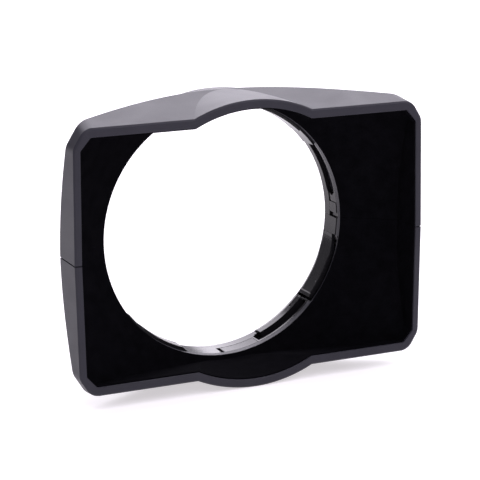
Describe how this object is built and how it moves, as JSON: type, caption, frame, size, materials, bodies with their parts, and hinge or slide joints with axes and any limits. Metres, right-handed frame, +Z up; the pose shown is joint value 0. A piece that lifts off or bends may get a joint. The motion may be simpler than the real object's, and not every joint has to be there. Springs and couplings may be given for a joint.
{
  "type": "lens hood",
  "caption": "Rectangular clip-on lens hood with rounded bulges above and below a round bore, two sprung latch arms and a flock lining.",
  "frame": {"origin": "on the optical axis, in the middle of the lens seat", "axes": "+X to the right and +Z up as seen from the front, +Y rearwards along the optical axis, the way the lens leaves"},
  "size_m": [0.1066, 0.0308, 0.0826],
  "materials": {
    "shell": "satin, fine spark-eroded texture",
    "flock": "flocked, near black",
    "ring": "smooth",
    "strip": "smooth",
    "latch": "smooth",
    "steel": "turned",
    "spring_steel": "rolled strip"
  },
  "bodies": {
    "hood": {"upper_shell": "shell", "lower_shell": "shell", "upper_flock_lining": "flock", "lower_flock_lining": "flock", "upper_mount_ring": "ring", "lower_mount_ring": "ring", "upper_bearing_strip": "strip", "lower_bearing_strip": "strip", "upper_ring_screws": "steel", "lower_ring_screws": "steel", "right_latch_pin": "steel", "left_latch_pin": "steel", "right_latch_spring": "spring_steel", "left_latch_spring": "spring_steel", "right_seam_dowels": "steel", "left_seam_dowels": "steel"},
    "right_latch": {"right_latch_arm": "latch"},
    "left_latch": {"left_latch_arm": "latch"}
  },
  "joints": [
    {"name": "right_latch_swing", "type": "hinge", "parent": "hood", "child": "right_latch", "pos_m": [0.0381, 0, -0.0088], "axis": [0, -1, 0], "range_deg": [0, 3.2], "stiffness_Nm_per_rad": 0.02, "springref_deg": -2.86, "deforming": ["right_latch_spring"]},
    {"name": "left_latch_swing", "type": "hinge", "parent": "hood", "child": "left_latch", "pos_m": [-0.0381, 0, 0.0088], "axis": [0, -1, 0], "range_deg": [0, 3.2], "stiffness_Nm_per_rad": 0.02, "springref_deg": -2.86, "deforming": ["left_latch_spring"]}
  ]
}
